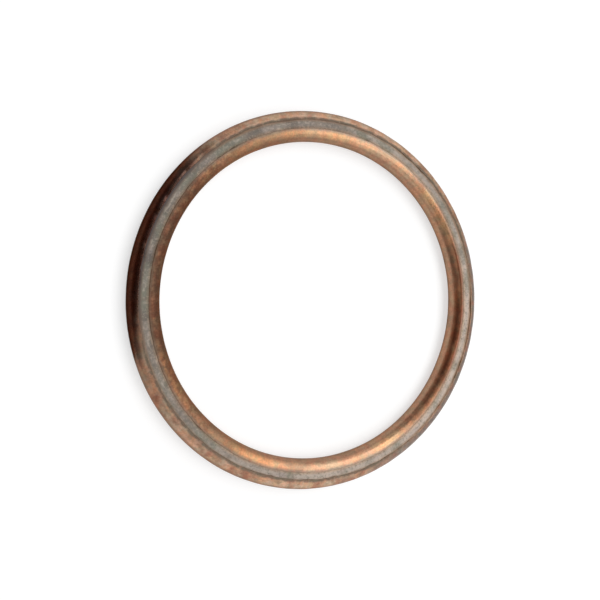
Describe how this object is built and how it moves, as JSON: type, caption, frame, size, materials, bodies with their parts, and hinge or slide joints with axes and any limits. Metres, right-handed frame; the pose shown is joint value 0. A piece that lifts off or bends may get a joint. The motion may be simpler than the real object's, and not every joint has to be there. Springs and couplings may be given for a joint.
{
  "type": "jacketed ring gasket",
  "caption": "Round jacketed gasket: a copper sheet folded round a compressed fibre filler that shows in a slot on one face.",
  "frame": {"origin": "centre of the ring, on the plane of its back face", "axes": "+Z along the ring's axis, from the closed back face towards the face with the slot"},
  "size_m": [0.045, 0.045, 0.0026],
  "materials": {
    "jacket_copper": "satin",
    "filler_fibre": "matte"
  },
  "bodies": {
    "root": {"copper_jacket": "jacket_copper", "filler_ring": "filler_fibre"}
  },
  "joints": []
}
